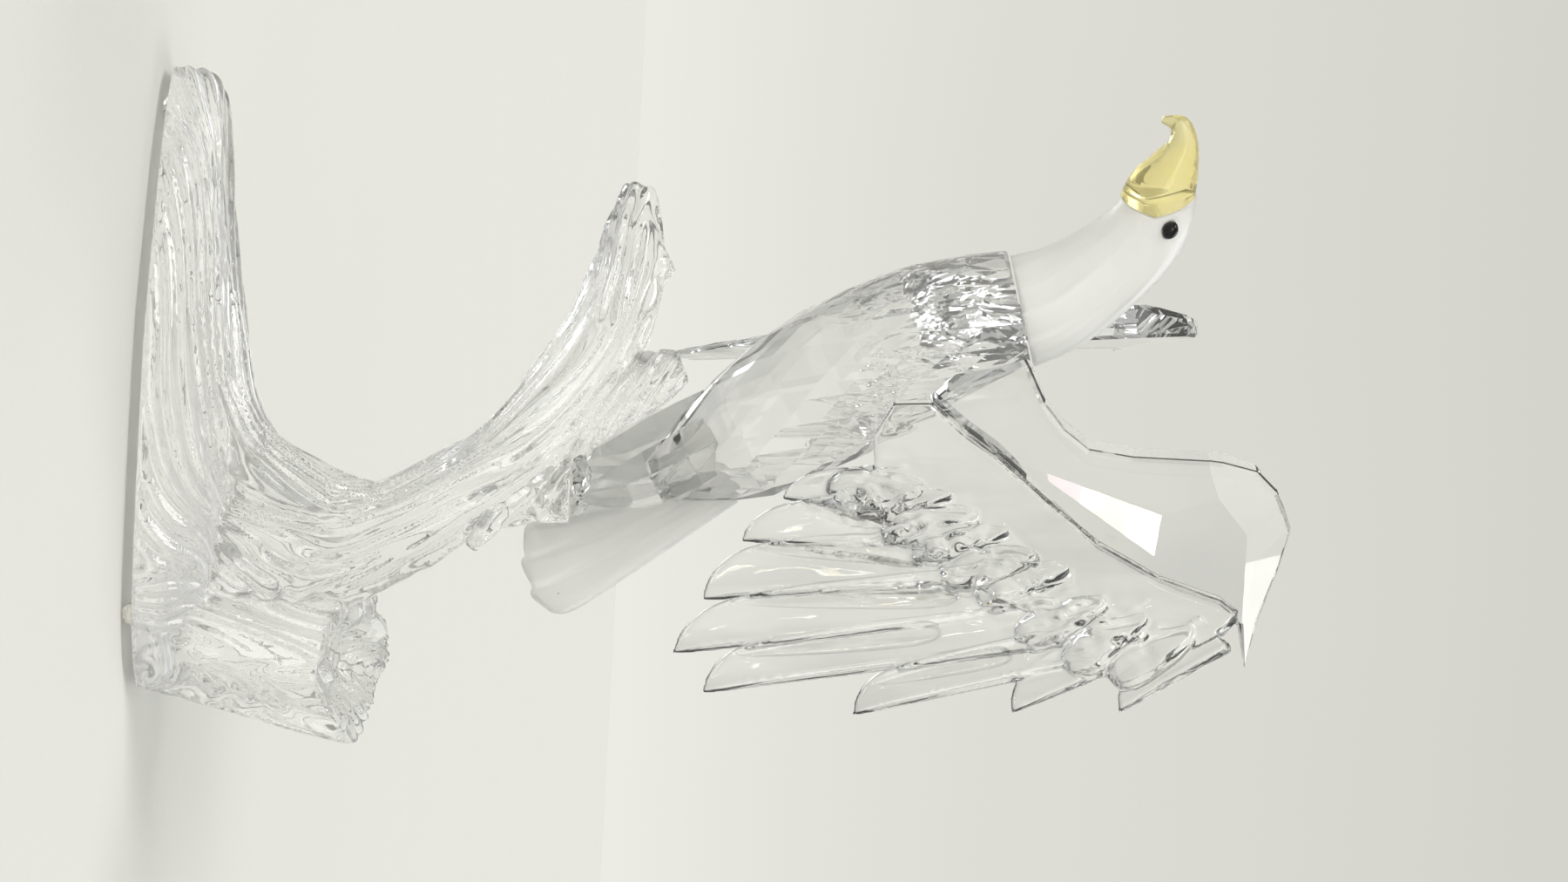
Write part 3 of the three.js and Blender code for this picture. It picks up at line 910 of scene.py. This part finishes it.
# Each channel in the feathers: its pointed end, its root, its half width and its depth
channels = [
    [20.1, 94.5, 23.7, 106, 1.0, 1.3],
    [27.8, 93.5, 30.8, 109, 1.0, 1.3],
    [35.5, 94.8, 36.1, 113.5, 1.15, 1.25],
    [19.8, 90.5, 24.4, 107, 2.2, 0.45],
    [27.8, 86.5, 29.3, 109.6, 2.4, 0.5],
    [36.8, 83.4, 36.5, 113.7, 2.6, 0.5],
    [45.3, 84.5, 42.1, 111, 2.4, 0.5],
    [50.3, 102, 46.2, 120, 2.0, 0.45],
]
covert_line = [
    [18, 109.5],
    [20.4, 113.2],
    [23.1, 116.6],
    [26.7, 120.5],
    [30.3, 123.9],
    [33.3, 128.1],
    [37.8, 132.4],
    [41.2, 137.5],
    [43, 143.2],
]


def vane(root, tip, face, half_width, thickness, round_root=0.0, blunt=6):
    """A smooth feather: a blade with a round tip, raised rims and a shallow dish between them."""
    sides, steps = 28, 40
    root, tip, face = (np.asarray(p, float) for p in (root, tip, face))
    along = tip - root
    across = unit(np.cross(face, along))
    out = unit(np.cross(along, across))

    def place(share, angle, reach):
        t = 0.5 - 0.5 * np.cos(np.pi * share) if round_root else share
        ends = np.sqrt(np.maximum(0.0, 1 - t**blunt))
        if round_root:
            ends = ends * np.maximum(0.0, 1 - (1 - t) ** round_root) ** 0.5
        width = half_width * ends * (0.72 + 0.28 * t)
        lean = 0.2 * half_width * t**4
        place_along = 1 - (1 - t) ** 1.5 if not round_root else t
        cosine, sine = np.cos(angle), np.sin(angle)
        a = cosine * np.abs(cosine) ** -0.12
        body = np.sign(sine) * np.abs(sine) ** 0.7
        edge = np.abs(a)
        rims_and_dish = np.exp(-(((edge - 0.8) / 0.16) ** 2)) - 0.55 * np.exp(-((edge / 0.45) ** 2))
        relief = 1 + VANE_RIM * rims_and_dish
        height = reach * (thickness / 2) * body * relief * (1 - 0.35 * t)
        height = height * np.sqrt(np.maximum(0.0, 1 - t**14))
        return (
            root
            + along * place_along[:, None]
            + across * (reach * width * a + lean)[:, None]
            + out * (height + VANE_TILT * reach * width * a)[:, None]
        )

    return closed_tube(sides, steps, place)


def feather(row, lift):
    """A feather with a straight outer edge. Its inner edge curves over to meet it in a corner at the tip."""
    sides, steps = 36, 60
    *corners, bluntness = row
    corners = np.column_stack([np.reshape(corners, (4, 2)), np.zeros(4)])
    inner_root, inner_tip, outer_root, outer_tip = corners

    def place(share, angle, reach):
        along = 1 - (1 - share) ** 1.6
        kept = np.sqrt(np.maximum(0.004, 1 - along**bluntness))
        outer = outer_root + (outer_tip - outer_root) * along[:, None]
        inner = inner_root + (inner_tip - inner_root) * along[:, None]
        inner += (outer - inner) * (1 - kept)[:, None]
        cosine = np.cos(angle)
        a = np.sign(cosine) * np.abs(cosine) ** 0.6
        edge = np.abs(a)
        round_off = np.sqrt(np.maximum(0, 1 - edge**5))
        rim = np.exp(-(((edge - 0.8) / 0.12) ** 2)) - 0.5 * np.exp(-((edge / 0.5) ** 2))
        front = 0.62 + FEATHER_RIM * rim * kept
        height = np.where(np.sin(angle) > 0, front, -0.62) * round_off * (1 - 0.35 * along)
        height = height * (0.3 + 0.7 * kept)
        half_width = np.linalg.norm(outer - inner, axis=1) / 2
        points = (inner + outer) / 2 + (outer - inner) / 2 * (reach * a)[:, None]
        points[:, 2] = FEATHER_THICKNESS * (reach * height / 2 + lift * (1 - along))
        points[:, 2] -= FEATHER_TILT * reach * a * half_width
        return points

    return closed_tube(sides, steps, place)


def channel_depth(flat):
    """How deep the quill grooves and the broad shallow channels sink the feathers' front at each point."""
    sunk = np.zeros(len(flat))
    for tip_out, tip_up, root_out, root_up, half_width, depth in channels:
        along = np.array([root_out - tip_out, root_up - tip_up])
        length = np.linalg.norm(along)
        along /= length
        away = flat[:, :2] - [tip_out, tip_up]
        share = np.clip(away @ along / length, 0, 1)
        across = np.abs(away @ np.array([-along[1], along[0]]))
        width = half_width * np.maximum(0.05, share**0.55 * np.sqrt(1 - share**10))
        shape = 1 - step(0.5, 1.05, across / width)
        sunk = np.maximum(sunk, depth * shape * (share > 0) * (share < 1))
    return sunk


def melted(flat):
    """Swirling lumps where the coverts flow into the feathers."""
    line = np.array(covert_line)
    toward_tips = np.array([0.3, -0.95])
    nearest = np.full(len(flat), 99.0)
    for start, end in zip(line[:-1], line[1:]):
        for share in (0, 0.5):
            middle = start + (end - start) * share + toward_tips * 0.55 * COVERT_LENGTH
            nearest = np.minimum(nearest, np.linalg.norm(flat[:, :2] - middle, axis=1))
    mask = np.exp(-((nearest / 5.2) ** 2))
    still = np.full(len(flat), 3.3)
    u, v = flat[:, 0], flat[:, 1]
    bend_out = 1.3 * drift(np.column_stack([u * 0.24, v * 0.2, still]))
    bend_up = 1.3 * drift(np.column_stack([u * 0.24 + 17, v * 0.2, still]))
    swirl = drift(np.column_stack([u * 0.34 + bend_out, v * 0.24 + bend_up, still]))
    swirl += 0.45 * drift(np.column_stack([u * 0.75 + 2 * bend_up, v * 0.55 + bend_out, still]))
    calm = 0.14 * drift(np.column_stack([u * 0.3, v * 0.1, still + 5]))
    return MELT_DEPTH * mask * swirl + calm


def wing_feathers(name, side):
    """The moulded feather piece, worked flat on the wing's plane and then carried to its place."""
    face = [0, 0, 1]
    vanes = [feather(row, STAGGER * (i % 2)) for i, row in enumerate(feather_rows)]
    for i, (out, up) in enumerate(covert_line):
        row = feather_rows[min(i, len(feather_rows) - 1)]
        along = unit(np.array([row[6] - row[4], row[7] - row[5], 0.0])) * COVERT_LENGTH
        root = np.array([out, up, STAGGER * (i % 2) * FEATHER_THICKNESS])
        vanes.append(vane(root, root + along, face, COVERT_HALF_WIDTH, COVERT_THICKNESS, round_root=2.5))
    band = extruded(band_edge + seam, ROOT_BAND_THICKNESS)
    made = mesh_object(name, [band, *vanes], carry=lambda p: np.asarray(p) * MM)
    fused(made, FEATHER_GRID, 6)
    flat = read_points(made, "co") / MM
    front = step(0.2, 0.6, read_points(made, "normal")[:, 2])
    sunk = channel_depth(flat)
    flat[:, 2] += front * (melted(flat) - sunk)
    # Where the quill grooves sink: the feathers' material lays its painted shade there
    mark_points(made, "quill", front * step(0.3, 0.9, sunk))
    move_points(made, placed(turned(on_wing(flat, side))))
    if side == RIGHT:
        # The right wing is a mirror image, which turns its faces inside out
        made.data.flip_normals()
    dressed(made, feather_clear, "clear_crystal", name.replace("_fine", ""))


wing_feathers("wing_feathers_left_fine", LEFT)
wing_feathers("wing_feathers_right_fine", RIGHT)

# Body: large facets at the rear and smaller ones towards the neck, in rows of x, y, z and radius
BODY_RINGS, BODY_SIDES = 8, 12
# The breast's facets, from this share of the body's length, stand out by this scale.
BREAST_RINGS, BREAST_SIDES = 5, 18
BREAST_START = 0.5
BREAST_SCALE = 1.012
GLUE_GAP = 0.3
body_rows = [
    [0, 7.4, 75, 3.2],
    [0, 3.6, 80.6, 7],
    [0, -0.6, 86.4, 9.5],
    [0, -5.2, 92.4, 10.7],
    [0, -9.8, 98.4, 11.2],
    [0, -13.8, 104.8, 11.2],
    [0, -17.4, 111.2, 10.8],
    [0, -20.6, 117.8, 9.9],
    [0, -23.6, 125, 8.4],
]
NECK_JOINT = np.array([0, -22.3, 123.7])
NECK_LEAN = np.array([0, -0.29, 0.957])


def body_form(rings, sides, start, scale):
    """The body from a share of its length to the neck, in staggered rows of flat facets."""
    at = through(body_rows)
    across = np.array([1.0, 0, 0])
    up = np.cross(BODY_AXIS, across)

    def place(share, angle, reach):
        x, y, z, radius = at(start + (1 - start) * share).T
        turned_by = angle + np.round(share * rings) * np.pi / sides
        swell = scale - 0.05 * (start > 0) * (1 - step(0, 0.4, share))
        reach = reach * radius * swell
        sideways, upwards = reach * np.cos(turned_by), reach * np.sin(turned_by)
        return np.column_stack([x, y, z]) + across * sideways[:, None] + up * upwards[:, None]

    points, faces = closed_tube(sides, rings, place)
    flat_faces = []
    for a, b, c, *d in faces:
        flat_faces += [(a, b, *d), (b, c, *d)] if d else [(a, b, c)]
    return points, flat_faces


def on_eagle(points):
    return placed(turned(points))


def eagle_body():
    made = mesh_object("body_cut", [body_form(BODY_RINGS, BODY_SIDES, 0.0, 1.0)], on_eagle, smooth=False)
    breast = body_form(BREAST_RINGS, BREAST_SIDES, BREAST_START, BREAST_SCALE)
    cut(made, mesh_object("scales", [breast], on_eagle, smooth=False), "UNION")
    cut(made, mesh_object("neck_plane", [half_space(NECK_JOINT, NECK_LEAN)], on_eagle))
    dressed(made, scaled_clear, "clear_crystal", "body")


eagle_body()

# Head and neck, and the beak set into the front of the head
head_rows = [
    [0, -20.5, 119, 8.3, 8.1],
    [0, -24, 127.5, 7.8, 7.5],
    [0, -27.6, 132.4, 7.1, 6.9],
    [0, -32, 137, 6.4, 6.2],
    [0, -36.6, 140.1, 6, 5.6],
    [0, -41, 141.2, 5, 5],
    [0, -44, 141.5, 4.4, 4.3],
]
beak_rows = [
    [0, -35.5, 140.4, 5, 5.6],
    [0, -41.4, 141, 4.7, 5.1],
    [0, -45.4, 142.3, 3.5, 3.7],
    [0, -49, 143.2, 2.3, 2.1],
    [0, -51.8, 142.3, 1.3, 1.4],
    [0, -52.4, 139.8, 0.3, 0.4],
]
GAPE = (-40, 139.8)
CHIN = (-40.9, 135.6)
BROW = (-42.4, 146.6)
EYE_PLACE = (5.55, -38.6, 142)
EYE_LENGTH, EYE_WIDTH, EYE_PROUD = 2.7, 2.2, 0.7
EYE_SET_IN = 0.5
EYE_TILT = -0.5
EYE_CLEARANCE = 0.1


def beak_space(grow):
    """The wedge between chin, gape and brow that the beak fills, as a solid across the head."""
    far = 30
    middle = (CHIN[0] + BROW[0]) / 2
    outline = [
        (GAPE[0] + grow, GAPE[1]),
        (CHIN[0] + grow, CHIN[1]),
        (CHIN[0] + grow, CHIN[1] - far),
        (middle - far, CHIN[1] - far),
        (middle - far, BROW[1] + far),
        (BROW[0] + grow, BROW[1] + far),
        (BROW[0] + grow, BROW[1]),
    ]
    points, faces = extruded(outline, 2 * far)
    return points[:, [2, 0, 1]], faces


def eye_form(side, grow):
    """An oval cabochon, or with grow the hollow that it sits in."""

    def place(share, angle, reach):
        polar = np.pi * share
        x = (EYE_PROUD + EYE_SET_IN + grow) * np.sin(polar) * np.cos(angle) * reach
        y = (EYE_LENGTH / 2 + grow) * np.cos(polar)
        z = (EYE_WIDTH / 2 + grow) * np.sin(polar) ** 1.4 * np.sin(angle) * reach
        c, s = math.cos(EYE_TILT), math.sin(EYE_TILT)
        points = np.column_stack([x, c * y - s * z, s * y + c * z])
        return points + np.array([side * EYE_PLACE[0], EYE_PLACE[1], EYE_PLACE[2]])

    return closed_tube(32, 20, place)


def head():
    def streaming(share, angle):
        """Silky flutes that fade from the neck towards the face."""
        swirl = angle + 0.5 * share
        silk = drift(np.column_stack([np.cos(swirl) * 4, np.sin(swirl) * 4, share * 2]))
        crest = 0.5 - 0.5 * np.cos(11 * swirl + 2.2 * silk)
        flutes = 0.085 * crest**2 * np.maximum(0, 1 - 1.4 * share) * (0.6 + 0.4 * silk)
        return flutes + 0.02 * silk * (1 - 0.6 * share) - 0.02

    made = mesh_object("head_and_neck_silk", [limb(head_rows, 128, 90, streaming)], on_eagle)
    cut(made, mesh_object("beak_space", [beak_space(GLUE_GAP)], on_eagle))
    below_neck = half_space(NECK_JOINT + GLUE_GAP * NECK_LEAN, -NECK_LEAN)
    cut(made, mesh_object("neck_plane", [below_neck], on_eagle))
    for side in (LEFT, RIGHT):
        cut(made, mesh_object("eye_hollow", [eye_form(side, EYE_CLEARANCE)], on_eagle))
    dressed(made, satin, "satin_crystal", "head_and_neck")


def beak():
    made = mesh_object("beak_carved", [limb(beak_rows, 72, 100)], on_eagle)
    cut(made, mesh_object("beak_space", [beak_space(0.0)], on_eagle), "INTERSECT")
    dressed(made, yellow, "yellow_crystal", "beak")


head()
beak()
for name, side in (("left", LEFT), ("right", RIGHT)):
    eye = mesh_object(f"eye_{name}_cabochon", [eye_form(side, 0)], on_eagle)
    dressed(eye, black, "black_crystal", f"eye_{name}")

# Tail: a fan from its root, between the tips of its nearest and its farthest feather
TAIL_ROOT = np.array([0, 6.5, 86])
TAIL_NEAR = np.array([17, 19.5, 59])
TAIL_FAR = np.array([-22, 10.2, 68.6])
TAIL_FEATHERS = 7
TAIL_THICKNESS = 2.4
TAIL_GRID = 0.3
# How much shorter the farthest feather is, and how much narrower than its share of the fan each feather is
TAIL_SHORTENING = 0.12
TAIL_NARROWING = 1.15
# The body's form cuts the tail at this scale, so that a gap stays between them
BODY_CLEARANCE = 1.035


def about(axis, angle, vector):
    """A vector turned about an axis."""
    return np.array((Matrix.Rotation(angle, 3, Vector(axis)) @ Vector(vector))[:])


def tail():
    near, far = TAIL_NEAR - TAIL_ROOT, TAIL_FAR - TAIL_ROOT
    face = unit(np.cross(near, far))
    length = np.linalg.norm(near)
    spread = math.acos(near @ far / (length * np.linalg.norm(far)))
    vanes = []
    for i in range(TAIL_FEATHERS):
        share = i / (TAIL_FEATHERS - 1)
        direction = unit(about(face, spread * share, near)) * length * (1 - TAIL_SHORTENING * share)
        half_width = length * spread / TAIL_FEATHERS / TAIL_NARROWING
        vanes.append(vane(TAIL_ROOT, TAIL_ROOT + direction, face, half_width, TAIL_THICKNESS, blunt=12))
    made = mesh_object("tail_silk", vanes, on_eagle)
    fused(made, TAIL_GRID, 3)
    body_space = body_form(BODY_RINGS, BODY_SIDES, 0.0, BODY_CLEARANCE)
    cut(made, mesh_object("body_space", [body_space], on_eagle))
    dressed(made, satin, "satin_crystal", "tail")


tail()

# Pieces that keep their solids
solid_finishes = {
    cut_clear: ("wing_plate_left", "wing_plate_right", "leg_left", "leg_right"),
    pad_clear: ("foot_pad_1", "foot_pad_2", "foot_pad_3"),
}
for finish, nodes in solid_finishes.items():
    for node in nodes:
        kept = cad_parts[node]
        kept.data.materials.clear()
        kept.data.materials.append(finish)

# Floor
FLOOR_RADIUS = 30
floor_mesh = bpy.data.meshes.new("floor")
form = bmesh.new()
bmesh.ops.create_circle(form, cap_ends=True, segments=96, radius=FLOOR_RADIUS)
form.to_mesh(floor_mesh)
form.free()
floor = bpy.data.objects.new("floor", floor_mesh)
scene.collection.objects.link(floor)
floor.data.materials.append(paper())

# Studio light: pale walls with dim corners under a dimmer ceiling, brighter on the side towards +X
WALLS_STRENGTH = 2.0
world = bpy.data.worlds.new("studio")
world.use_nodes = True
scene.world = world
studio = Finish(world.node_tree)
look = studio.node("ShaderNodeTexCoord", output="Generated")
split = studio.node("ShaderNodeSeparateXYZ", {}, {0: look})
east, north, height = (Shade(studio, socket) for socket in split.socket.node.outputs)
walls = studio.ramp(
    height * 0.5 + 0.5,
    (0.0, (0.72, 0.71, 0.67)),
    (0.5, (0.838, 0.835, 0.78)),
    (0.53, (0.775, 0.772, 0.718)),
    (0.56, (0.73, 0.727, 0.674)),
    (0.62, (0.69, 0.687, 0.635)),
    (0.78, (0.56, 0.56, 0.54)),
    (0.92, (0.44, 0.44, 0.43)),
)
mottle = studio.ramp(studio.noise(look, 2.2, 2), (0.32, grey(0.975)), (0.62, grey(1.0)))
diagonal = abs(east * north * 2) / (east * east + north * north + 0.0001)
shaded_corner = studio.ramp(diagonal, (0.68, grey(0.0)), (0.95, grey(0.5)))
walls = studio.between(shaded_corner, studio.times(walls, mottle), grey(0.22))
soft_box = studio.ramp(east, (0.5, grey(0.5)), (0.93, grey(1.0)))
walls = studio.times(walls, soft_box)
backdrop = studio.node("ShaderNodeBackground", {}, {"Color": walls, "Strength": WALLS_STRENGTH})
studio.node("ShaderNodeOutputWorld", {}, {0: backdrop})


def soft_light(name, heading, spread, strength, colour):
    """A wide soft light that falls evenly on everything, from where heading points."""
    lamp = bpy.data.lights.new(name, "SUN")
    lamp.angle = math.radians(spread)
    lamp.energy = strength
    lamp.color = colour
    made = bpy.data.objects.new(name, lamp)
    made.rotation_mode = "QUATERNION"
    made.rotation_quaternion = Vector(heading).to_track_quat("Z", "Y")
    scene.collection.objects.link(made)


soft_light("key", (0.45, -0.6, 1.0), 28, 1.3, (1, 0.985, 0.955))
soft_light("fill", (-0.5, 0.55, 0.9), 40, 0.8, (0.95, 0.98, 1))
soft_light("side", (1.0, -0.15, 0.1), 44, 1.1, (1, 0.99, 0.97))

# Camera: in the photograph the figure lies on its side, so the picture's right is the figure's up
DISTANCE = 420
ELEVATION = math.radians(-3)
ROLL = math.radians(3)
AIM = (0, 0, 92)
FOCAL_LENGTH, SENSOR_WIDTH = 67.2, 36
aim = placed([AIM])[0]
back = np.array([math.cos(ELEVATION), 0, math.sin(ELEVATION)])
level_up = np.array([-math.sin(ELEVATION), 0, math.cos(ELEVATION)])
ahead = np.array([0, -1, 0])
right = math.cos(ROLL) * level_up + math.sin(ROLL) * ahead
up = -math.sin(ROLL) * level_up + math.cos(ROLL) * ahead
lens = bpy.data.cameras.new("camera")
lens.sensor_width = SENSOR_WIDTH
lens.lens = FOCAL_LENGTH
lens.clip_start = 0.01
lens.clip_end = 100
camera = bpy.data.objects.new("camera", lens)
turn = Matrix([right, up, back]).transposed().to_4x4()
camera.matrix_world = Matrix.Translation(Vector(aim + DISTANCE * MM * back)) @ turn
scene.collection.objects.link(camera)
scene.camera = camera
scene.view_settings.view_transform = "Standard"

# Small tinted panels stand where the large front facet of the left wing mirrors them towards the camera
FACET_MIRRORS = np.array([0.391, -0.915, -0.101])
PANEL_DISTANCE = 1.0
PANEL_SIZE = 0.036
PANEL_SPREAD = math.radians(8)
# For each panel, the point of the facet that shows it, on the wing's plane, and its tint and energy
panels = [
    [(17.6, 128.2, 2.5), (1, 0.72, 0.86), 0.00005],
    [(21.8, 133.9, 2.5), (1, 0.93, 0.55), 0.00009],
    [(26, 139.6, 2.5), (1, 1, 1), 0.00013],
]
camera_point = np.array(camera.matrix_world.translation)
facet_points = placed(turned(on_wing([spot for spot, tint, energy in panels], LEFT)))
facet_normal = unit(FACET_MIRRORS - unit(facet_points[1] - camera_point))
for number, (point, (spot, tint, energy)) in enumerate(zip(facet_points, panels)):
    sight = unit(point - camera_point)
    heading = sight - 2 * (sight @ facet_normal) * facet_normal
    glow = bpy.data.lights.new(f"panel_{number}", "AREA")
    glow.shape = "DISK"
    glow.size = PANEL_SIZE
    glow.spread = PANEL_SPREAD
    glow.energy = energy
    glow.color = tint
    panel = bpy.data.objects.new(f"panel_{number}", glow)
    panel.location = point + PANEL_DISTANCE * heading
    panel.rotation_mode = "QUATERNION"
    panel.rotation_quaternion = Vector(heading).to_track_quat("Z", "Y")
    panel.visible_camera = False
    scene.collection.objects.link(panel)
